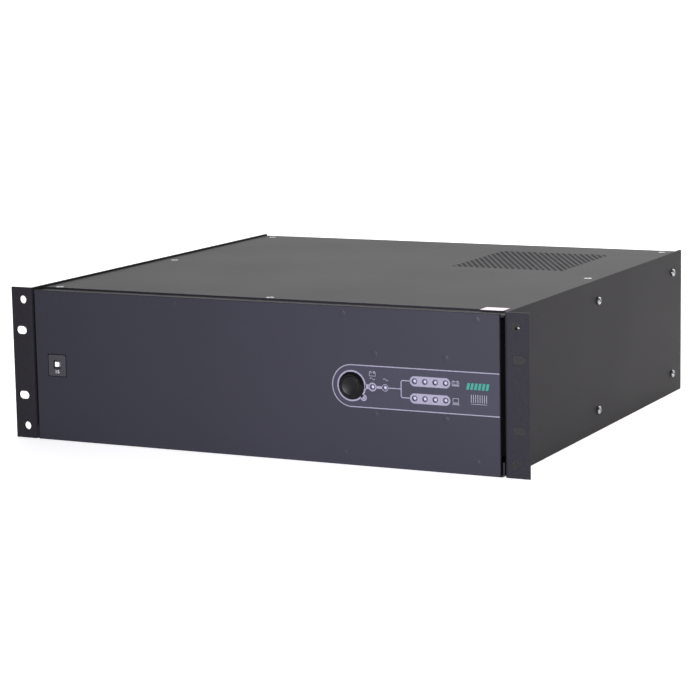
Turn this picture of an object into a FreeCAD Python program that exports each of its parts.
import FreeCAD, Part
import math
import os

# 3U rack-mounted uninterruptible power supply.
# Row frame: +X to the right of someone who faces the front, +Y towards the back, +Z up. The origin is
# the centre of the base of the overall box. Sizes are in millimetres. A "depth" is a distance behind
# the front face of the rack ears.

V = FreeCAD.Vector

# ---------------------------------------------------------------- driving dimensions
rack_width = 482.6          # 19 inch panel width over the ears
panel_height = 132.5        # 3U panel
body_width = 444.0          # over the side plates
plate_depth = 430.0         # ear front face to the rear edge of a side plate
plate_t = 2.0               # side plates and ears
sheet_t = 1.5               # lid, base, walls and front panel
bend_r = 1.0                # inside radius of every fold
fit_gap = 0.2               # between a folded sheet and the plate beside it

rack_slot_pitch_x = 465.1   # rack rails
rack_slot_pitch_z = 57.15
rack_slot_w = 7.0
rack_slot_len = 10.5
handle_hole_pitch_x = 460.0
handle_hole_pitch_z = 111.0
handle_hole_d = 7.0

panel_width = 434.0
panel_proud = 1.5           # front panel face stands this far in front of the ears
panel_bottom = 0.3
overlay_t = 0.3
overlay_inset = 0.5         # film's edge inside the panel's edge
ledge_len = 17.5            # top ledge of the front wall, between the front panel and the lid
lid_recess = 1.5            # lid lies this far below the side plates' top edges
lid_gap = 0.8               # joint between the ledge and the lid
lid_short = 0.5             # lid's rear edge before the side plates' rear edge
rear_recess = 5.0           # rear panel stands in from the side plates' rear edges
flange_len = 30.0           # folded flanges that the screws go into
relief_gap = 0.5            # slit between two flanges at a corner of a wall
pan_flange_h = 12.0

side_screw_ends = (22.0, 26.0)  # first screws behind the ears, last ones before the rear edge
side_screw_pitch = 198.0    # middle ones to the last ones
side_screw_inset = 18.5     # above the base and below the top
lid_screw_x = 207.0
lid_screw_edge = 5.5        # first ones behind the lid's front edge
lid_screw_pitch = (197.0, 196.5)
lid_screw_head_d = 7.0      # countersunk
screw_d = 4.0
screw_head_d = 8.0
screw_head_h = 2.2
screw_len = 6.0
screw_clearance = 0.1       # radial, in the sheets

vent_x = (62.5, 171.0)      # perforated field in the lid, above the heat sinks
vent_reach = (53.0, 63.0)   # in front of and behind the middle of the power board
vent_flats = 3.6
vent_pitch = 5.8

control_z = 66.1            # centre line of everything on the front
button_x = 86.8
collar_d = 23.0
collar_flange_t = 0.8
collar_h = 2.6
collar_top_d = 19.4
cap_d = 16.4
cap_proud = 0.4
cap_clearance = 0.3         # radial, in the collar
cap_travel = 2.5
cap_dish_r = 30.0           # radius of the hollow in the cap's face
cap_dish_depth = 0.9
collar_back = 14.0          # barrel's rear end, behind the overlay
collar_ledge = 1.6          # how far its rear lip reaches in, to hold the spring
collar_lip_t = 1.5
spring_len = 6.0
spring_wire = 0.8
spring_turns = 3
stem_d = 4.0
stem_reach = 0.2            # stem's end behind the collar
stem_gap = 0.3              # left between stem and switch at full travel
switch_size = (15.0, 14.0, 15.0)

led_hole_d = 4.6
led_d = 3.0
bar_led_x = 142.9
bar_led_pitch = 9.07
bar_led_count = 4
bar_rise = 7.0              # bar rows above and below the centre line
mode_led_x = (105.6, 116.9)
stud_x = (-197.0, -79.0, 79.0, 197.0)
stud_rows = (9.7, 6.0)      # above the panel's bottom edge and below its top edge
stud_d = 3.0
stud_len = 8.0
standoff_x = (107.5, 170.0)
standoff_z = (43.3, 92.7)
board_t = 1.6
display_gap = 6.0           # front wall to display board

breaker_x = -196.0
breaker_flange = (17.4, 18.6)
breaker_window_gap = 0.6    # around the flange, in the panel
breaker_body = (14.0, 15.6, 24.0)
breaker_well = 7.2          # square well round the plunger
plunger = 4.2
plunger_clearance = 0.25
plunger_proud = 0.6
plunger_travel = 4.0
plunger_rise = 1.0          # plunger centre above the breaker's centre

battery = (65.0, 151.0, 94.0)
battery_count = 4
battery_gap = 1.0
battery_depth = 35.0        # front of the batteries
battery_pad_t = 1.0
terminal_h = 6.0
terminal_w = 6.3
terminal_x = 22.0           # either side of a battery's middle
terminal_setback = 13.6     # in front of its rear face
link_t = 2.0
bracket_setback = 24.0      # bracket behind the batteries' front
bracket_w = 10.0
bracket_foot = 13.0
bracket_pad_t = 1.5
lead_d = 4.4

core_od = 146.0
core_id = 46.0
core_h = 82.0
core_x = 137.0
core_depth = 120.0
core_pad_t = 2.0
clamp_d = 96.0
clamp_t = 2.5

power_board = (222.0, 160.0)    # X and Y sizes
power_board_x = 100.0
power_board_inset = 115.0   # its middle, before the side plates' rear edge
board_spacer_h = 8.0
filter_size = (150.0, 90.0)
filter_x = -125.0
sink_w = 46.0
sink_len = 116.0
sink_base_t = 5.0
sink_h = 70.0
sink_fins = 8
sink_fin_t = 1.8
sink_x = (84.0, 156.0)

fan_size = 80.0
fan_t = 25.4
fan_wall = 2.0              # frame's wall where the duct is widest
fan_x = 120.0
fan_z = 66.0
fan_hub_d = 32.0
fan_blades = 7
fan_tip_gap = 1.2
fan_wall_gap = 0.5          # rotor to the fan's motor plate and to the rear panel
fan_hole_pitch = 71.5
fan_hole_d = 4.3
grille_hub_d = 18.0         # punched hole in the middle of the grille
grille_slot_w = 7.6
grille_web = 3.4

outlet_x = (-128.0, -92.0, -56.0)
outlet_z = (42.0, 92.0)
outlet_flange = (31.0, 25.0)
outlet_flange_t = 2.0
outlet_cavity = (25.2, 17.2)
outlet_island = (19.6, 11.6)
outlet_depth = 16.0
inlet_x = -182.0
inlet_flange = (50.0, 32.0)
inlet_cavity = (30.5, 21.0)
inlet_depth = 20.0
serial_x = -10.0
serial_hole = (18.0, 9.8)
serial_pitch = 25.0         # between its jack posts
usb_x = 26.0
usb_size = (12.0, 10.8)
line_port_x = 8.0
line_port_size = (30.0, 14.0)
port_z = 92.0
line_port_z = 44.0
label_size = (20.0, 14.0)   # blank seal over a lid screw and the joint in front of it
label_reach = 2.0           # in front of the joint
label_shift = 4.0           # its middle, left of the screw
label_t = 0.15

# ---------------------------------------------------------------- derived places
front_reach = panel_proud + collar_h + cap_proud
ear_y = front_reach - (plate_depth + front_reach) / 2
plate_in = body_width / 2 - plate_t
sheet_half = plate_in - fit_gap
lid_top = panel_height - lid_recess
lid_under = lid_top - sheet_t
panel_face = ear_y - panel_proud + overlay_t        # metal face under the overlay
overlay_face = panel_face - overlay_t
front_wall_y = panel_face + sheet_t
rear_face = ear_y + plate_depth - rear_recess
front_wall_back = front_wall_y + sheet_t
ledge_back = front_wall_y + ledge_len
lid_front = ledge_back + lid_gap
lid_back = ear_y + plate_depth - lid_short
fold_out = bend_r + sheet_t
button_hole_d = collar_d - 3.0
outlet_mid_z = sum(outlet_z) / 2
battery_base = sheet_t + battery_pad_t
battery_top = battery_base + battery[2]
battery_x0 = -(sheet_half - sheet_t) + 4.0
batteries_x1 = battery_x0 + battery_count * battery[0] + (battery_count - 1) * battery_gap
board_z = sheet_t + board_spacer_h
board_top = board_z + board_t
core_base = sheet_t + core_pad_t
core_top = core_base + core_h
fan_front = rear_face - sheet_t - fan_t
fan_bore = fan_size - 2 * fan_wall
side_screw_back = plate_depth - side_screw_ends[1]
side_screw_middle = side_screw_back - side_screw_pitch
side_screw_depths = (side_screw_ends[0], side_screw_middle, side_screw_back)
lid_screw_first = lid_front - ear_y + lid_screw_edge
lid_screw_depths = (lid_screw_first, lid_screw_first + lid_screw_pitch[0],
                    lid_screw_first + sum(lid_screw_pitch))
bulkhead_depth = side_screw_middle - screw_head_d
power_board_depth = plate_depth - power_board_inset
vent_depth = (power_board_depth - vent_reach[0], power_board_depth + vent_reach[1])
display_board_y = front_wall_back + display_gap
spring_front = overlay_face + collar_back - collar_lip_t - spring_len
stem_end = overlay_face + collar_back + stem_reach
switch_front = stem_end + cap_travel + stem_gap
bracket_y = ear_y + battery_depth + bracket_setback + bracket_w / 2
screw_hole_r = screw_d / 2 + screw_clearance
parts = {}


def depth(d):
    """Row-frame Y of a place d behind the ears' front face."""
    return ear_y + d


# ---------------------------------------------------------------- construction helpers
def box(x, y, z):
    """Block over three (low, high) pairs."""
    return Part.makeBox(x[1] - x[0], y[1] - y[0], z[1] - z[0], V(x[0], y[0], z[0]))


def block(centre, size):
    return box(*[(c - s / 2, c + s / 2) for c, s in zip(centre, size)])


def rod(start, axis, d, length):
    return Part.makeCylinder(d / 2, length, V(*start), V(*axis))


def fuse(first, *others):
    return first.multiFuse(list(others)).removeSplitter()


def cut(first, *others):
    return first.cut(list(others)) if others else first


def circle(x, v, d):
    return Part.Wire([Part.Circle(V(x, v, 0), V(0, 0, 1), d / 2).toShape()])


def polygon(points):
    return Part.makePolygon([V(x, v, 0) for x, v in points] + [V(points[0][0], points[0][1], 0)])


def rectangle(x, v, w, h):
    return polygon([(x - w / 2, v - h / 2), (x + w / 2, v - h / 2),
                    (x + w / 2, v + h / 2), (x - w / 2, v + h / 2)])


def hexagon(x, v, flats):
    r = flats / math.sqrt(3)
    return polygon([(x + r * math.sin(k * math.pi / 3), v + r * math.cos(k * math.pi / 3)) for k in range(6)])


def slot(x, v, length, w):
    """Round-ended slot along X."""
    a, r = (length - w) / 2, w / 2
    return Part.Wire([
        Part.LineSegment(V(x - a, v - r, 0), V(x + a, v - r, 0)).toShape(),
        Part.Arc(V(x + a, v - r, 0), V(x + a + r, v, 0), V(x + a, v + r, 0)).toShape(),
        Part.LineSegment(V(x + a, v + r, 0), V(x - a, v + r, 0)).toShape(),
        Part.Arc(V(x - a, v + r, 0), V(x - a - r, v, 0), V(x - a, v - r, 0)).toShape()])


def ring_sector(x, v, r_in, r_out, start, sweep):
    """Slot bent round a centre, between two radii, over sweep degrees."""
    def at(r, share):
        a = math.radians(start + sweep * share)
        return V(x + r * math.cos(a), v + r * math.sin(a), 0)
    return Part.Wire([
        Part.Arc(at(r_out, 0), at(r_out, 0.5), at(r_out, 1)).toShape(),
        Part.LineSegment(at(r_out, 1), at(r_in, 1)).toShape(),
        Part.Arc(at(r_in, 1), at(r_in, 0.5), at(r_in, 0)).toShape(),
        Part.LineSegment(at(r_in, 0), at(r_out, 0)).toShape()])


def flat_plate(outline, holes, thickness):
    """Plate drawn in XY with its holes, as thick as stated along +Z."""
    face = Part.makeFace([outline] + list(holes), "Part::FaceMakerBullseye")
    return face.extrude(V(0, 0, thickness))


def upright_plate(outline, holes, y, thickness):
    """Plate drawn in XZ with its holes, from y to y + thickness."""
    plate = flat_plate(outline, holes, thickness)
    plate.rotate(V(0, 0, 0), V(1, 0, 0), 90)
    plate.translate(V(0, y + thickness, 0))
    return plate


def cross_section(outline, x, length):
    """Solid whose section is drawn in YZ, from x to x + length."""
    solid = flat_plate(outline, [], length)
    solid.transformShape(FreeCAD.Matrix(0, 0, 1, x, 1, 0, 0, 0, 0, 1, 0, 0, 0, 0, 0, 1))
    return solid


def round_edges(shape, radius, test):
    """Fillets each straight edge whose middle point passes the test."""
    chosen = [e for e in shape.Edges
              if isinstance(e.Curve, Part.Line) and test(e.CenterOfMass, e)]
    return shape.makeFillet(radius, chosen)


def along(edge, axis):
    a, b = edge.Vertexes[0].Point, edge.Vertexes[-1].Point
    return abs((b - a).normalize().dot(V(*axis))) > 0.99


def near(a, b):
    return abs(a - b) < 1e-3


def fold(shape, axis, inner, outer):
    """Rounds a fold that runs along an axis. inner and outer are two (coordinate, value) pairs each."""
    def on(corner):
        return lambda p, e: along(e, axis) and all(near(getattr(p, c), v) for c, v in corner)
    shape = round_edges(shape, bend_r, on(inner))
    thickness = abs(inner[0][1] - outer[0][1])
    return round_edges(shape, bend_r + thickness, on(outer))


def tube(points, d):
    """Round lead through hand-chosen points: straight runs joined by the largest tangent arcs."""
    pts = [V(*p) for p in points]
    edges, last = [], pts[0]
    for a, b, c in zip(pts, pts[1:], pts[2:]):
        u, w = (b - a).normalize(), (c - b).normalize()
        half = math.acos(max(-1.0, min(1.0, u.dot(w)))) / 2
        reach = 0.45 * min((b - a).Length, (c - b).Length)
        radius = reach / math.tan(half)
        start, end = b - u * reach, b + w * reach
        middle = b + (w - u).normalize() * (radius / math.cos(half) - radius)
        edges += [Part.LineSegment(last, start).toShape(), Part.Arc(start, middle, end).toShape()]
        last = end
    edges.append(Part.LineSegment(last, pts[-1]).toShape())
    path = Part.Wire(edges)
    section = Part.Wire([Part.Circle(pts[0], pts[1] - pts[0], d / 2).toShape()])
    return path.makePipeShell([section], True, False)


def pan_screw(point, outward, length=screw_len):
    """Pan-head screw: the head stands on point, outward is the way it faces."""
    head = Part.makeCone(screw_head_d / 2, screw_head_d / 2 - 1.2, screw_head_h, V(*point), V(*outward))
    shank = Part.makeCylinder(screw_d / 2, length, V(*point), V(*outward) * -1)
    return head.fuse(shank)


def group(shapes):
    return Part.makeCompound(list(shapes))


# ---------------------------------------------------------------- enclosure
def side_plate(side):
    """Full-length side plate folded out at the front into a rack ear. side is 1 right, -1 left."""
    outer, tip = body_width / 2, rack_width / 2
    back = ear_y + plate_depth
    profile = polygon([(plate_in, ear_y), (tip, ear_y), (tip, ear_y + plate_t),
                       (outer, ear_y + plate_t), (outer, back), (plate_in, back)])
    plate = flat_plate(profile, [], panel_height)
    plate = fold(plate, (0, 0, 1), [("x", outer), ("y", ear_y + plate_t)],
                 [("x", plate_in), ("y", ear_y)])
    middle = panel_height / 2
    cutters = []
    for end in (-1, 1):
        hole = upright_plate(slot(rack_slot_pitch_x / 2, middle + end * rack_slot_pitch_z / 2,
                                  rack_slot_len, rack_slot_w), [], ear_y - 1, plate_t + 2)
        cutters.append(hole)
        cutters.append(rod((handle_hole_pitch_x / 2, ear_y - 1, middle + end * handle_hole_pitch_z / 2),
                           (0, 1, 0), handle_hole_d, plate_t + 2))
    for d, z in side_screw_places():
        cutters.append(rod((plate_in - 1, depth(d), z), (1, 0, 0), 2 * screw_hole_r, plate_t + 2))
    plate = cut(plate, *cutters)
    return plate if side > 0 else plate.mirror(V(0, 0, 0), V(1, 0, 0))


def side_screw_places():
    heights = (side_screw_inset, panel_height - side_screw_inset)
    return [(d, z) for d in side_screw_depths for z in heights]


def lid_screw_places():
    """Two columns of three, and one in the middle of the front edge."""
    corners = [(side * lid_screw_x, d) for side in (-1, 1) for d in lid_screw_depths]
    return corners + [(0.0, lid_screw_depths[0])]


def lid():
    holes = []
    row_pitch = vent_pitch * math.sqrt(3) / 2
    rows = int((vent_depth[1] - vent_depth[0]) / row_pitch) + 1
    columns = int((vent_x[1] - vent_x[0]) / vent_pitch) + 1
    for r in range(rows):
        shift = vent_pitch / 2 if r % 2 else 0.0
        holes += [hexagon(vent_x[0] + shift + c * vent_pitch, depth(vent_depth[0] + r * row_pitch), vent_flats)
                  for c in range(columns - r % 2)]
    length = lid_back - lid_front
    plate = flat_plate(rectangle(0, lid_front + length / 2, 2 * sheet_half, length), holes, sheet_t)
    plate.translate(V(0, 0, lid_under))
    return cut(plate, *[countersink(x, depth(d), screw_clearance) for x, d in lid_screw_places()])


def countersink(x, y, clearance=0.0):
    """Cone through the lid's thickness that a flat screw head fills."""
    return Part.makeCone(screw_d / 2 + clearance, lid_screw_head_d / 2 + clearance, sheet_t, V(x, y, lid_under))


def lid_screws():
    """Countersunk screws, flush with the lid."""
    return group(countersink(x, depth(d)).fuse(rod((x, depth(d), lid_under), (0, 0, -1), screw_d, screw_len))
                 for x, d in lid_screw_places())


def base_pan():
    """Bottom sheet with a low flange folded up along each side."""
    front, back = front_wall_y, rear_face
    inner = sheet_half - sheet_t
    section = polygon([(-sheet_half, 0), (sheet_half, 0), (sheet_half, pan_flange_h), (inner, pan_flange_h),
                       (inner, sheet_t), (-inner, sheet_t), (-inner, pan_flange_h),
                       (-sheet_half, pan_flange_h)])
    pan = upright_plate(section, [], front, back - front)
    for side in (-1, 1):
        pan = fold(pan, (0, 1, 0), [("x", side * inner), ("z", sheet_t)], [("x", side * sheet_half), ("z", 0.0)])
    feet = [rod((x, y, -1), (0, 0, 1), 2 * screw_hole_r, sheet_t + 2) for x, y in pan_screw_places()]
    return cut(pan, *feet)


def pan_screw_places():
    """Transformer bolt, battery bracket and power board fixings through the base."""
    return [(core_x, depth(core_depth))] + bracket_feet()


def wall(y, back_to, holes, top=None):
    """Upright wall whose top, side and bottom flanges fold towards back_to (1 backwards, -1 forwards).

    A top above the lid's underside leaves a ledge in front of the lid, and the flange steps down behind it.
    """
    top = top or lid_under
    bottom, inner = sheet_t, sheet_half - sheet_t
    relief = fold_out + 1
    leg = fold_out + relief_gap
    flat = sheet_half - 2 * relief
    face, outside = (y + sheet_t, y) if back_to > 0 else (y, y + sheet_t)
    tip = face + back_to * flange_len
    lower = polygon([(outside, bottom), (tip, bottom), (tip, bottom + sheet_t), (face, bottom + sheet_t),
                     (face, bottom + leg), (outside, bottom + leg)])
    lower = fold(cross_section(lower, -flat, 2 * flat), (1, 0, 0),
                 [("y", face), ("z", bottom + sheet_t)], [("y", outside), ("z", bottom)])
    step = []
    if top > lid_under:
        step = [(ledge_back, top), (ledge_back, lid_under)]
    under = [(u - sheet_t, v - sheet_t) for u, v in reversed(step)]
    upper = polygon([(outside, top)] + step + [(tip, lid_under), (tip, lid_under - sheet_t)] + under
                    + [(face, top - sheet_t), (face, top - leg), (outside, top - leg)])
    upper = fold(cross_section(upper, -sheet_half, 2 * sheet_half), (1, 0, 0),
                 [("y", face), ("z", top - sheet_t)], [("y", outside), ("z", top)])
    web_low, web_high = bottom + fold_out, top - fold_out
    web = upright_plate(rectangle(0, (web_low + web_high) / 2, 2 * flat, web_high - web_low), holes, y, sheet_t)
    low_z, high_z = pan_flange_h + relief, lid_under - relief
    sides = []
    for s in (-1, 1):
        corner = polygon([(s * flat, outside), (s * sheet_half, outside), (s * sheet_half, tip),
                          (s * inner, tip), (s * inner, face), (s * flat, face)])
        side = flat_plate(corner, [], high_z - low_z)
        side.translate(V(0, 0, low_z))
        sides.append(fold(side, (0, 0, 1), [("x", s * inner), ("y", face)],
                          [("x", s * sheet_half), ("y", outside)]))
    shape = fuse(web, lower, upper, *sides)
    low, high = sorted((face, tip))
    drills = [rod((s * (sheet_half + 1), depth(d), z), (-s, 0, 0), 2 * screw_hole_r, sheet_t + 2)
              for s in (-1, 1) for d, z in side_screw_places() if low < depth(d) < high]
    drills += [rod((x, depth(d), lid_under + 1), (0, 0, -1), 2 * screw_hole_r, sheet_t + 2)
               for x, d in lid_screw_places() if low < depth(d) < high]
    return cut(shape, *drills)


def led_places():
    """Centre of each indicator on the front, as (x, z), by row."""
    bars = [bar_led_x + k * bar_led_pitch for k in range(bar_led_count)]
    return {"mode": [(x, control_z) for x in mode_led_x],
            "battery": [(x, control_z + bar_rise) for x in bars],
            "load": [(x, control_z - bar_rise) for x in bars]}


def stud_places():
    heights = (panel_bottom + stud_rows[0], lid_top - stud_rows[1])
    return [(x, z) for x in stud_x for z in heights]


def front_openings(extra):
    """Holes for the button, the breaker and the indicators, opened out by extra all round."""
    holes = [circle(button_x, control_z, button_hole_d + 2 * extra),
             rectangle(breaker_x, control_z, *[s + 2 * (breaker_window_gap + extra) for s in breaker_flange])]
    for row in led_places().values():
        holes += [circle(x, z, led_hole_d + 2 * extra) for x, z in row]
    return holes


def front_panel():
    """Flat sheet with rounded front edges, cleared for the controls, on eight clinched studs."""
    height = lid_top - panel_bottom
    plate = upright_plate(rectangle(0, panel_bottom + height / 2, panel_width, height),
                          front_openings(0), panel_face, sheet_t)
    studs = [rod((x, front_wall_y - 0.5, z), (0, 1, 0), stud_d, stud_len + 0.5) for x, z in stud_places()]
    return fuse(plate, *studs)


def front_overlay():
    """Printed film over the panel's front, with a window for each control."""
    low, high = panel_bottom + overlay_inset, lid_top - overlay_inset
    outline = rectangle(0, (low + high) / 2, panel_width - 2 * overlay_inset, high - low)
    return upright_plate(outline, front_openings(0), overlay_face, overlay_t)


def front_wall():
    """Wall behind the front panel. Its top flange shows as a ledge in front of the lid."""
    holes = [circle(x, z, stud_d + 0.6) for x, z in stud_places()]
    holes.append(rectangle(breaker_x, control_z, breaker_body[0] + 1.0, breaker_body[1] + 1.0))
    holes.append(circle(button_x, control_z, button_hole_d + 1.0))
    lit = led_places()["battery"]
    left, right = mode_led_x[0] - 6, lit[-1][0] + 6
    holes.append(rectangle((left + right) / 2, control_z, right - left, 2 * bar_rise + 12))
    holes += [circle(x, z, stud_d + 0.2) for x in standoff_x for z in standoff_z]
    return wall(front_wall_y, 1, holes, lid_top)


def bulkhead():
    """Middle wall with cable and air windows."""
    windows = [rectangle(x, 62, 34, 52) for x in (-170, -120, -70, 60, 110, 160)]
    windows.append(rectangle(-9, 40, 56, 40))
    return wall(depth(bulkhead_depth), 1, windows)


def fan_grille():
    """Three rings of slots and a centre hole, punched in front of the fan."""
    holes, r = [circle(fan_x, fan_z, grille_hub_d / 2)], grille_hub_d / 2
    while r + grille_slot_w < fan_bore / 2:
        sectors = 4 if r < grille_hub_d else 8
        gap = math.degrees(grille_web / (r + grille_slot_w / 2))
        holes += [ring_sector(fan_x, fan_z, r, r + grille_slot_w, k * 360 / sectors + gap / 2,
                              360 / sectors - gap) for k in range(sectors)]
        r += grille_slot_w + 0.62 * grille_web
    return holes


def fan_screw_places():
    return [(fan_x + sx * fan_hole_pitch / 2, fan_z + sz * fan_hole_pitch / 2) for sx in (-1, 1) for sz in (-1, 1)]


def inlet_screw_places():
    return [(inlet_x + s * (inlet_flange[0] / 2 - 4.5), outlet_mid_z) for s in (-1, 1)]


def rear_panel():
    holes = fan_grille()
    holes += [circle(x, z, fan_hole_d) for x, z in fan_screw_places()]
    holes += [rectangle(x, z, outlet_flange[0] - 2.6, outlet_flange[1] - 2.6)
              for x in outlet_x for z in outlet_z]
    holes.append(rectangle(inlet_x, outlet_mid_z, inlet_cavity[0] + 4.4, inlet_cavity[1] + 4.4))
    holes += [circle(x, z, 3.4) for x, z in inlet_screw_places()]
    holes.append(rectangle(serial_x, port_z, *serial_hole))
    holes += [circle(serial_x + s * serial_pitch / 2, port_z, 3.4) for s in (-1, 1)]
    holes.append(rectangle(usb_x, port_z, usb_size[0] + 0.6, usb_size[1] + 0.6))
    holes.append(rectangle(line_port_x, line_port_z, line_port_size[0] + 0.6, line_port_size[1] + 0.6))
    return wall(rear_face - sheet_t, -1, holes)


# ---------------------------------------------------------------- front controls
def power_button_collar():
    """Turned collar: flange on the overlay, sloping rim, barrel through the panel and a rear lip."""
    bore = cap_d / 2 + cap_clearance
    barrel = button_hole_d / 2 - 0.2
    lip = collar_back - collar_lip_t
    profile = [(bore, -collar_h), (collar_top_d / 2 - 0.5, -collar_h), (collar_top_d / 2, -collar_h + 0.5),
               (collar_d / 2 - 0.6, -collar_flange_t), (collar_d / 2, -collar_flange_t + 0.4), (collar_d / 2, 0),
               (barrel, 0), (barrel, collar_back), (bore - collar_ledge, collar_back),
               (bore - collar_ledge, lip), (bore, lip)]
    face = Part.Face(Part.makePolygon([V(r, y, 0) for r, y in profile + profile[:1]]))
    collar = face.revolve(V(0, 0, 0), V(0, 1, 0), 360)
    collar.translate(V(button_x, overlay_face, control_z))
    return collar


def power_button_cap():
    """Dished cap whose skirt rides in the collar, with a stem that reaches for the switch."""
    front = overlay_face - collar_h - cap_proud
    body = rod((button_x, front, control_z), (0, 1, 0), cap_d, spring_front - front)
    body = body.makeFillet(0.6, [e for e in body.Edges if near(e.CenterOfMass.y, front)])
    dish = Part.makeSphere(cap_dish_r, V(button_x, front - cap_dish_r + cap_dish_depth, control_z))
    stem = rod((button_x, spring_front - 1, control_z), (0, 1, 0), stem_d, stem_end - spring_front + 1)
    return fuse(body, stem).cut(dish)


def power_switch():
    """Momentary switch behind the collar, with four solder legs."""
    w, h, length = switch_size
    body = block((button_x, switch_front + length / 2, control_z), (w, length, h))
    legs = [block((button_x + sx * 4.5, switch_front + length + 2, control_z + sz * 4), (0.8, 4, 2))
            for sx in (-1, 1) for sz in (-1, 1)]
    return fuse(body, *legs)


def power_switch_bracket():
    """Cup that clips the switch to the collar's barrel."""
    w, h, length = switch_size
    start = overlay_face + collar_back
    end = switch_front + length - 2
    shell = rod((button_x, start, control_z), (0, 1, 0), button_hole_d + 3, end - start)
    room = block((button_x, (start + end) / 2, control_z), (w, end - start + 2, h))
    return shell.cut(room)


def power_button_spring():
    """Square-wire return spring between the cap's skirt and the collar's rear lip."""
    mean = cap_d / 2 + cap_clearance - spring_wire / 2 - 0.25
    half = spring_wire / 2
    turns_len = spring_len - spring_wire
    helix = Part.makeHelix(turns_len / spring_turns, turns_len, mean)
    section = Part.makePolygon([V(mean - half, 0, -half), V(mean + half, 0, -half), V(mean + half, 0, half),
                                V(mean - half, 0, half), V(mean - half, 0, -half)])
    coil = helix.makePipeShell([section], True, True)
    coil.rotate(V(0, 0, 0), V(1, 0, 0), -90)
    coil.translate(V(button_x, spring_front + half, control_z))
    return coil


def breaker_housing():
    """Snap-in thermal breaker: flange, body and the well round its plunger."""
    w, h = breaker_flange
    bw, bh, bl = breaker_body
    flange_front = overlay_face - 0.3
    flange = box((breaker_x - w / 2, breaker_x + w / 2), (flange_front, front_wall_y),
                 (control_z - h / 2, control_z + h / 2))
    flange = round_edges(flange, 1.2, lambda p, e: along(e, (0, 1, 0)))
    body = box((breaker_x - bw / 2, breaker_x + bw / 2), (front_wall_y - 1, front_wall_y + bl),
               (control_z - bh / 2, control_z + bh / 2))
    z = control_z + plunger_rise
    well = box((breaker_x - breaker_well / 2, breaker_x + breaker_well / 2), (flange_front - 1, overlay_face + 2.2),
               (z - breaker_well / 2, z + breaker_well / 2))
    reach = plunger / 2 + plunger_clearance
    shaft = box((breaker_x - reach, breaker_x + reach), (flange_front - 1, front_wall_y + 16), (z - reach, z + reach))
    tabs = [block((breaker_x + s * 3.5, front_wall_y + bl + 4, control_z), (0.8, 8, 6.3)) for s in (-1, 1)]
    return fuse(flange, body, *tabs).cut([well, shaft])


def breaker_plunger():
    z = control_z + plunger_rise
    front, back = overlay_face - plunger_proud, front_wall_y + 12
    rodlet = box((breaker_x - plunger / 2, breaker_x + plunger / 2), (front, back), (z - plunger / 2, z + plunger / 2))
    return round_edges(rodlet, 0.5, lambda p, e: near(p.y, front))


def led_row(places):
    """Round indicator lenses that look through the panel from the display board."""
    tip, edge = overlay_face + 0.4, 0.5
    lenses = []
    for x, z in places:
        barrel = rod((x, tip + edge, z), (0, 1, 0), led_d, display_board_y - tip - edge)
        bevel = Part.makeCone(led_d / 2 - edge, led_d / 2, edge, V(x, tip, z), V(0, 1, 0))
        lenses.append(barrel.fuse(bevel))
    return group(lenses)


def display_board():
    """Indicator board on four standoffs, cleared round the switch bracket."""
    x0, x1 = standoff_x[0] - 6, standoff_x[1] + 9
    z0, z1 = standoff_z[0] - 5, standoff_z[1] + 5
    holes = [circle(x, z, stud_d + 0.2) for x in standoff_x for z in standoff_z]
    outline = rectangle((x0 + x1) / 2, (z0 + z1) / 2, x1 - x0, z1 - z0)
    return upright_plate(outline, holes, display_board_y, board_t)


def display_standoffs():
    """Hexagonal spacers between the front wall and the display board."""
    made = []
    for x in standoff_x:
        for z in standoff_z:
            spacer = upright_plate(hexagon(x, z, 5.5), [], front_wall_back, display_gap)
            pin = rod((x, panel_face + sheet_t, z), (0, 1, 0), stud_d, display_board_y + board_t + 1 - front_wall_y)
            made.append(spacer.fuse(pin))
    return group(made)


def stud_nuts():
    """Nuts on the front panel's studs, inside the front wall."""
    return group(upright_plate(hexagon(x, z, 5.5), [circle(x, z, stud_d + 0.1)], front_wall_back, 2.4)
                 for x, z in stud_places())


# ---------------------------------------------------------------- batteries
def battery_centre(k):
    return battery_x0 + battery[0] / 2 + k * (battery[0] + battery_gap)


def battery_block(k):
    """Sealed 12 V block: moulded case with a stepped lid and two blade terminals."""
    w, length, h = battery
    x, y0 = battery_centre(k), depth(battery_depth)
    case = box((x - w / 2, x + w / 2), (y0, y0 + length), (battery_base, battery_top - 4))
    case = round_edges(case, 2.0, lambda p, e: along(e, (0, 0, 1)))
    cover = box((x - w / 2 + 1, x + w / 2 - 1), (y0 + 1, y0 + length - 1), (battery_top - 4, battery_top))
    strip = box((x - 14, x + 14), (y0 + 34, y0 + length - 34), (battery_top, battery_top + 1))
    blade_y, blade_z = y0 + length - terminal_setback, battery_top + terminal_h / 2 - 1
    blades = [block((x + s * terminal_x, blade_y, blade_z), (terminal_w, 0.8, terminal_h + 2)) for s in (-1, 1)]
    return fuse(case, cover, strip, *blades)


def battery_pads():
    """Foam mat under the batteries, and a pad on top of each one under the bracket."""
    y0 = depth(battery_depth)
    mat = box((battery_x0, batteries_x1), (y0, y0 + battery[1]), (sheet_t, battery_base))
    pads = [block((battery_centre(k), bracket_y, battery_top + bracket_pad_t / 2),
                  (28, bracket_w, bracket_pad_t)) for k in range(battery_count)]
    return group([mat] + pads)


def bracket_feet():
    """Screw at the free end of the battery bracket."""
    return [(batteries_x1 + bracket_foot - 5.0, bracket_y)]


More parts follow.
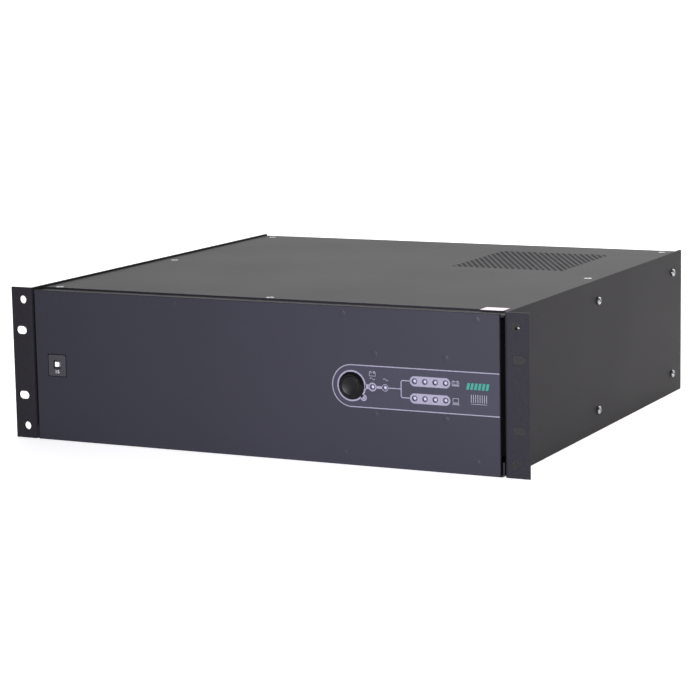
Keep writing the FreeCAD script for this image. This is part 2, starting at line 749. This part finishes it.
def battery_bracket():
    """Strap over the row of batteries, folded down at one end to a foot on the base."""
    side, foot_end = batteries_x1 + 1, batteries_x1 + bracket_foot
    under = battery_top + bracket_pad_t
    top, out = under + sheet_t, side + sheet_t
    section = polygon([(battery_x0 + 4, under), (side, under), (side, sheet_t), (foot_end, sheet_t),
                       (foot_end, 2 * sheet_t), (out, 2 * sheet_t), (out, top), (battery_x0 + 4, top)])
    strap = upright_plate(section, [], bracket_y - bracket_w / 2, bracket_w)
    strap = fold(strap, (0, 1, 0), [("x", side), ("z", under)], [("x", out), ("z", top)])
    return cut(strap, *[rod((x, y, 0), (0, 0, 1), 2 * screw_hole_r, 8) for x, y in bracket_feet()])


def base_screws():
    """Screw up through the base into the bracket's foot."""
    return group(rod((x, y, 0.2), (0, 0, 1), screw_d, 3 * sheet_t - 0.2) for x, y in bracket_feet())


def battery_links():
    """Arched jumpers, each from one battery's right terminal to the next one's left terminal."""
    z, y = battery_top + terminal_h, depth(battery_depth) + battery[1] - terminal_setback
    links = []
    for k in range(battery_count - 1):
        a, b = battery_centre(k) + terminal_x, battery_centre(k + 1) - terminal_x
        middle, r_out = (a + b) / 2, (b - a) / 2 + link_t
        r_in = r_out - 2 * link_t
        arch = upright_plate(ring_sector(middle, z + 3, r_in, r_out, 0, 180), [], y - terminal_w / 2, terminal_w)
        legs = [block((x, y, z + 1.5), (2 * link_t, terminal_w, 3)) for x in (a, b)]
        links.append(fuse(arch, *legs))
    return group(links)


# ---------------------------------------------------------------- transformer
def transformer_core():
    """Taped toroidal winding: a chamfered rectangular section turned about the bolt."""
    r_in, r_out, c = core_id / 2, core_od / 2, 8.0
    profile = [(r_in + c, core_base), (r_out - c, core_base), (r_out, core_base + c), (r_out, core_top - c),
               (r_out - c, core_top), (r_in + c, core_top), (r_in, core_top - c), (r_in, core_base + c)]
    section = Part.Face(Part.makePolygon([V(r, 0, z) for r, z in profile + profile[:1]]))
    ring = section.revolve(V(0, 0, 0), V(0, 0, 1), 360)
    ring.translate(V(core_x, depth(core_depth), 0))
    return ring


def washer(z, d, t, bore):
    plate = flat_plate(circle(0, 0, d), [circle(0, 0, bore)], t)
    plate.translate(V(core_x, depth(core_depth), z))
    return plate


def transformer_clamp():
    """Steel clamp plate with a raised rim."""
    top = core_top + core_pad_t
    plate = washer(top, clamp_d, clamp_t, 2 * screw_hole_r)
    rim = washer(top + clamp_t, clamp_d, 1.5, clamp_d - 6)
    return fuse(plate, rim)


def transformer_bolt():
    """Long bolt up through the base, with its nut on the clamp plate."""
    top = core_top + core_pad_t + clamp_t
    shank = rod((core_x, depth(core_depth), 0.2), (0, 0, 1), screw_d, top + 8 - 0.2)
    nut = flat_plate(hexagon(0, 0, 8.0), [], 4.0)
    nut.translate(V(core_x, depth(core_depth), top))
    return fuse(shank, nut)


# ---------------------------------------------------------------- electronics
def board_corners():
    w, length = power_board
    y = depth(power_board_depth)
    return [(power_board_x + sx * (w / 2 - 6), y + sy * (length / 2 - 6)) for sx in (-1, 1) for sy in (-1, 1)]


def power_circuit_board():
    w, length = power_board
    holes = [circle(x, y, 3.4) for x, y in board_corners()]
    plate = flat_plate(rectangle(power_board_x, depth(power_board_depth), w, length), holes, board_t)
    plate.translate(V(0, 0, board_z))
    return plate


def board_spacers():
    """Hexagonal spacers under the two boards, each with its screw end above the board."""
    made = []
    for x, y in board_corners() + filter_corners():
        spacer = flat_plate(hexagon(x, y, 6.0), [], board_spacer_h)
        spacer.translate(V(0, 0, sheet_t))
        made.append(spacer.fuse(rod((x, y, board_z), (0, 0, 1), 3.0, board_t + 1.5)))
    return group(made)


def heat_sink(x, side):
    """Extruded comb: an upright base with fins on one side. side is the way the fins point."""
    pitch = (sink_h - sink_fin_t) / (sink_fins - 1)
    points = [(0, 0), (0, sink_h), (sink_base_t, sink_h)]
    for k in reversed(range(sink_fins)):
        low = k * pitch
        high = low + sink_fin_t
        if k < sink_fins - 1:
            points.append((sink_base_t, high))
        points += [(sink_w, high), (sink_w, low)]
        if k > 0:
            points.append((sink_base_t, low))
    points[2:3] = []
    comb = upright_plate(polygon([(x + side * u, board_top + v) for u, v in points]), [],
                         depth(power_board_depth) - sink_len / 2 - 8, sink_len)
    return comb


def transistor_row(x, side):
    """Power transistors flat on the back of a heat sink."""
    y0 = depth(power_board_depth) - sink_len / 2 + 4
    return group(block((x - side * 2.6, y0 + k * 22, board_top + 18), (5.0, 16, 21)) for k in range(5))


def capacitors():
    """Electrolytic capacitors in a row in front of the heat sinks."""
    y = depth(power_board_depth) - power_board[1] / 2 + 4.5
    cans = [rod((power_board_x - 66 + k * 17, y + 1, board_top), (0, 0, 1), 14, 30) for k in range(8)]
    return group(cans)


def relays():
    x, y = power_board_x - power_board[0] / 2 + 17, depth(power_board_depth)
    return group(block((x, y - 34 + k * 32, board_top + 10), (24, 29, 20)) for k in range(3))


def filter_choke():
    """Common-mode choke: a wound ring lying on the filter board."""
    profile = [(8, 0), (16, 0), (18, 2), (18, 12), (16, 14), (8, 14), (6, 12), (6, 2), (8, 0)]
    ring = Part.Face(Part.makePolygon([V(r, 0, z) for r, z in profile])).revolve(V(0, 0, 0), V(0, 0, 1), 360)
    ring.translate(V(filter_x - 42, depth(power_board_depth), board_top))
    return ring


def filter_board():
    holes = [circle(x, y, 3.4) for x, y in filter_corners()]
    plate = flat_plate(rectangle(filter_x, depth(power_board_depth), *filter_size), holes, board_t)
    plate.translate(V(0, 0, board_z))
    return plate


def filter_corners():
    w, length = filter_size
    return [(filter_x + sx * (w / 2 - 6), depth(power_board_depth) + sy * (length / 2 - 6))
            for sx in (-1, 1) for sy in (-1, 1)]


def filter_capacitors():
    return group(block((filter_x + 10 + k * 20, depth(power_board_depth), board_top + 12), (12, 30, 24))
                 for k in range(3))


# ---------------------------------------------------------------- fan
def fan_frame():
    """Square frame with a round duct, four struts and the motor plate they carry."""
    outline = rectangle(0, 0, fan_size, fan_size)
    holes = [circle(sx * fan_hole_pitch / 2, sz * fan_hole_pitch / 2, fan_hole_d) for sx in (-1, 1) for sz in (-1, 1)]
    frame = upright_plate(outline, holes + [circle(0, 0, fan_bore)], fan_front, fan_t)
    frame = round_edges(frame, 4.0, lambda p, e: along(e, (0, 1, 0)))
    waist = upright_plate(circle(0, 0, fan_size * 1.6), [circle(0, 0, fan_bore + 3)], fan_front + 4, fan_t - 8)
    corner = [upright_plate(rectangle(sx * fan_hole_pitch / 2, sz * fan_hole_pitch / 2, 13, 13), [],
                            fan_front + 3, fan_t - 6) for sx in (-1, 1) for sz in (-1, 1)]
    frame = frame.cut(waist.cut(corner))
    plate = rod((0, fan_front, 0), (0, 1, 0), fan_hub_d + 2, 3.0)
    struts = [box((fan_hub_d / 2 - 1, fan_bore / 2 + 1), (fan_front, fan_front + 3.0), (-1.5, 1.5))
              for k in range(4)]
    for k, s in enumerate(struts):
        s.rotate(V(0, 0, 0), V(0, 1, 0), 45 + 90 * k)
    pin = rod((0, fan_front + 2.5, 0), (0, 1, 0), 3.0, 12.0)
    frame = fuse(frame, plate, pin, *struts)
    frame.translate(V(fan_x, 0, fan_z))
    return frame


def blade_section(r, chord, pitch_deg, camber):
    """Thin cambered section, square to the radius r, as a closed wire of two arcs."""
    a = math.radians(pitch_deg)
    lead = V(-math.cos(a) * chord / 2, -math.sin(a) * chord / 2, r)
    trail = V(math.cos(a) * chord / 2, math.sin(a) * chord / 2, r)
    normal = V(-math.sin(a), math.cos(a), 0)
    thick = 0.8
    return Part.Wire([Part.Arc(lead, normal * (camber + thick) + V(0, 0, r), trail).toShape(),
                      Part.Arc(trail, normal * (camber - thick) + V(0, 0, r), lead).toShape()])


def fan_rotor():
    """Hub cup with seven twisted blades, lofted from root to tip, on a bored boss."""
    start = fan_front + 3.0 + fan_wall_gap
    end = rear_face - sheet_t - fan_wall_gap - 1.0
    middle = (start + end) / 2
    hub = rod((0, start, 0), (0, 1, 0), fan_hub_d, end - start)
    hub = hub.makeFillet(2.0, [e for e in hub.Edges if near(e.CenterOfMass.y, end)])
    hub = hub.cut(rod((0, start - 1, 0), (0, 1, 0), 3.0 + 0.1, 13.0))
    tip = fan_bore / 2 - fan_tip_gap
    sections = [blade_section(fan_hub_d / 2 - 1.5, 15.0, 42, 1.6), blade_section(0.6 * tip, 19.0, 34, 2.0),
                blade_section(tip - 0.9, 23.0, 26, 2.2)]
    blade = Part.makeLoft(sections, True, True)
    blade.translate(V(0, middle, 0))
    blades = []
    for k in range(fan_blades):
        one = blade.copy()
        one.rotate(V(0, 0, 0), V(0, 1, 0), k * 360 / fan_blades)
        blades.append(one)
    rotor = hub.multiFuse(blades)
    rotor.translate(V(fan_x, 0, fan_z))
    return rotor


def fan_screws():
    made = []
    for x, z in fan_screw_places():
        head = Part.makeCone(4.0, 3.0, 1.8, V(x, rear_face, z), V(0, 1, 0))
        made.append(head.fuse(rod((x, rear_face, z), (0, -1, 0), 4.0, 10.0)))
    return group(made)


# ---------------------------------------------------------------- rear sockets
def chamfered(x, z, w, h, corner, low):
    """Connector outline: a rectangle with its two lower (or upper) corners cut off."""
    s = -1 if low else 1
    return polygon([(x - w / 2, z - s * h / 2), (x + w / 2, z - s * h / 2), (x + w / 2, z + s * (h / 2 - corner)),
                    (x + w / 2 - corner, z + s * h / 2), (x - w / 2 + corner, z + s * h / 2),
                    (x - w / 2, z + s * (h / 2 - corner))])


def outlet(x, z):
    """One socket: flange, body, moat for the plug's shroud, and an island with three pin slots."""
    front = rear_face + outlet_flange_t
    flange = upright_plate(rectangle(x, z, *outlet_flange), [], rear_face, outlet_flange_t)
    flange = round_edges(flange, 1.5, lambda p, e: along(e, (0, 1, 0)))
    body = upright_plate(rectangle(x, z, outlet_flange[0] - 3.0, outlet_flange[1] - 3.0), [],
                         front - outlet_depth - 5, outlet_depth + 4)
    moat = upright_plate(chamfered(x, z, *outlet_cavity, 4.0, False),
                         [chamfered(x, z, *outlet_island, 3.0, False)], front - outlet_depth, outlet_depth + 1)
    pins = [block((x + u, front - 6, z + v), (2.4, 13, 4.8)) for u, v in ((-6.0, -1.8), (6.0, -1.8), (0.0, 1.8))]
    return fuse(flange, body).cut([moat] + pins)


def inlet():
    """Power inlet: screwed flange, deep shrouded cavity and three flat pins."""
    x, z = inlet_x, outlet_mid_z
    front = rear_face + outlet_flange_t
    flange = upright_plate(rectangle(x, z, *inlet_flange), [circle(u, v, 3.4) for u, v in inlet_screw_places()],
                           rear_face, outlet_flange_t)
    body = upright_plate(rectangle(x, z, inlet_cavity[0] + 4, inlet_cavity[1] + 4), [],
                         front - inlet_depth - 5, inlet_depth + 4)
    cavity = upright_plate(chamfered(x, z, *inlet_cavity, 5.0, True), [], front - inlet_depth, inlet_depth + 1)
    shell = fuse(flange, body).cut(cavity)
    return shell


def inlet_pins():
    x, z = inlet_x, outlet_mid_z
    front = rear_face + outlet_flange_t
    back = front - inlet_depth
    return group(box((x + u - 3.9, x + u + 3.9), (back, front - 4), (z + v - 1, z + v + 1))
                 for u, v in ((-7.2, -4.0), (7.2, -4.0), (0.0, 5.0)))


def inlet_screws():
    made = []
    for x, z in inlet_screw_places():
        face = rear_face + outlet_flange_t
        head = Part.makeCone(2.8, 2.2, 1.4, V(x, face, z), V(0, 1, 0))
        made.append(head.fuse(rod((x, face, z), (0, -1, 0), 3.0, 9.0)))
    return group(made)


def serial_port():
    """Nine-way D port: flange plate, D-shaped shell and two hexagonal jack posts."""
    flange = upright_plate(rectangle(serial_x, port_z, 30.8, 12.4), [], rear_face, 0.8)
    nose = polygon([(serial_x - 8.4, port_z + 4.2), (serial_x + 8.4, port_z + 4.2),
                    (serial_x + 7.2, port_z - 4.2), (serial_x - 7.2, port_z - 4.2)])
    shell = upright_plate(nose, [], rear_face - 9, 13.5)
    holes = [rod((serial_x + (k - 2 if k < 5 else k - 6.5) * 2.74, rear_face + 5, port_z + (1.4 if k < 5 else -1.4)),
                 (0, -1, 0), 1.2, 6) for k in range(9)]
    posts = [upright_plate(hexagon(serial_x + s * serial_pitch / 2, port_z, 4.8), [], rear_face, 4.0)
             for s in (-1, 1)]
    return fuse(flange, shell, *posts).cut(holes)


def usb_port():
    """Square data port with its centre tongue."""
    w, h = usb_size
    front = rear_face + 0.6
    body = upright_plate(rectangle(usb_x, port_z, w, h), [], front - 16, 16)
    well = upright_plate(rectangle(usb_x, port_z, 8.6, 7.9), [rectangle(usb_x, port_z, 5.6, 3.2)], front - 9, 10)
    return body.cut(well)


def line_ports():
    """Twin modular jacks for line protection, side by side in one housing."""
    w, h = line_port_size
    front = rear_face + 0.8
    body = upright_plate(rectangle(line_port_x, line_port_z, w, h), [], front - 18, 18)
    wells = []
    for s in (-1, 1):
        x = line_port_x + s * w / 4
        wells.append(upright_plate(rectangle(x, line_port_z - 0.6, 11.8, 8.0), [], front - 12, 13))
        wells.append(upright_plate(rectangle(x, line_port_z + 4.2, 5.0, 2.4), [], front - 12, 13))
    return body.cut(wells)


# ---------------------------------------------------------------- leads
def battery_leads():
    """The string's two ends, each taken behind the batteries and through the middle window to the board."""
    top = battery_top + terminal_h
    start = battery_depth + battery[1] - terminal_setback
    right = battery_centre(battery_count - 1) + terminal_x
    left = battery_centre(0) - terminal_x
    drop = battery_depth + battery[1] + 8.5
    board_front = power_board_depth - power_board[1] / 2 + 3
    routes = [
        [(right, start, top), (right, start, top + 9), (right - 4, drop - 1, top + 4), (right - 16, drop, top - 22),
         (16, drop + 4, 56), (13, bulkhead_depth + 16, 40), (12, board_front, 30), (12, board_front, board_top)],
        [(left, start, top), (left, start, top + 9), (left + 10, drop - 2, top), (left + 45, drop, top - 20),
         (left + 90, drop, top - 36), (left + 135, drop, top - 48), (-30, drop + 1, 48), (-8, bulkhead_depth + 6, 42),
         (3, board_front, 30), (3, board_front, board_top)]]
    return group(tube([(x, depth(d), z) for x, d, z in route], lead_d) for route in routes)


def seal_label():
    """Blank seal stuck over the lid's front right screw and over the joint."""
    w, length = label_size
    front, middle = ledge_back - label_reach, lid_screw_x - label_shift
    return box((middle - w / 2, middle + w / 2), (front, front + length), (lid_top, lid_top + label_t))


# ---------------------------------------------------------------- build and export
def build():
    side_points = side_screw_places()
    sinks = [(sink_x[0], 1), (sink_x[1], 1)]
    made = {
        "side_plate_left": side_plate(-1),
        "side_plate_right": side_plate(1),
        "lid": lid(),
        "base_pan": base_pan(),
        "front_panel": front_panel(),
        "front_overlay": front_overlay(),
        "front_wall": front_wall(),
        "bulkhead": bulkhead(),
        "rear_panel": rear_panel(),
        "lid_screws": lid_screws(),
        "side_screws_left": group(pan_screw((-body_width / 2, depth(d), z), (-1, 0, 0)) for d, z in side_points),
        "side_screws_right": group(pan_screw((body_width / 2, depth(d), z), (1, 0, 0)) for d, z in side_points),
        "stud_nuts": stud_nuts(),
        "power_button_collar": power_button_collar(),
        "power_button_cap": power_button_cap(),
        "power_button_spring": power_button_spring(),
        "power_switch": power_switch(),
        "power_switch_bracket": power_switch_bracket(),
        "breaker_housing": breaker_housing(),
        "breaker_plunger": breaker_plunger(),
        "display_board": display_board(),
        "display_standoffs": display_standoffs(),
        "battery_pads": battery_pads(),
        "battery_bracket": battery_bracket(),
        "base_screws": base_screws(),
        "battery_links": battery_links(),
        "battery_leads": battery_leads(),
        "transformer_core": transformer_core(),
        "transformer_pad_lower": washer(sheet_t, core_od - 12, core_pad_t, 2 * screw_hole_r),
        "transformer_pad_upper": washer(sheet_t + core_pad_t + core_h, core_od - 30, core_pad_t, 2 * screw_hole_r),
        "transformer_clamp": transformer_clamp(),
        "transformer_bolt": transformer_bolt(),
        "power_board": power_circuit_board(),
        "board_spacers": board_spacers(),
        "transistors": group([transistor_row(x, side) for x, side in sinks]),
        "capacitors": capacitors(),
        "relays": relays(),
        "filter_board": filter_board(),
        "filter_choke": filter_choke(),
        "filter_capacitors": filter_capacitors(),
        "fan_frame": fan_frame(),
        "fan_rotor": fan_rotor(),
        "rear_screws": group([fan_screws(), inlet_screws()]),
        "inlet": inlet(),
        "inlet_pins": inlet_pins(),
        "serial_port": serial_port(),
        "usb_port": usb_port(),
        "line_ports": line_ports(),
        "seal_label": seal_label(),
    }
    for name, places in led_places().items():
        made[name + "_leds"] = led_row(places)
    for k in range(battery_count):
        made["battery_%d" % (k + 1)] = battery_block(k)
    for name, (x, side) in zip(("left", "right"), sinks):
        made["heat_sink_" + name] = heat_sink(x, side)
    for name, z in zip(("lower", "upper"), outlet_z):
        made["outlets_" + name] = group(outlet(x, z) for x in outlet_x)
    return made


def main():
    os.makedirs("parts", exist_ok=True)
    for old in os.listdir("parts"):
        if old.endswith(".step"):
            os.remove(os.path.join("parts", old))
    for name, shape in build().items():
        if not shape.isValid():
            print("invalid:", name)
        shape.exportStep("parts/%s.step" % name)
    print(len(os.listdir("parts")), "parts")


main()
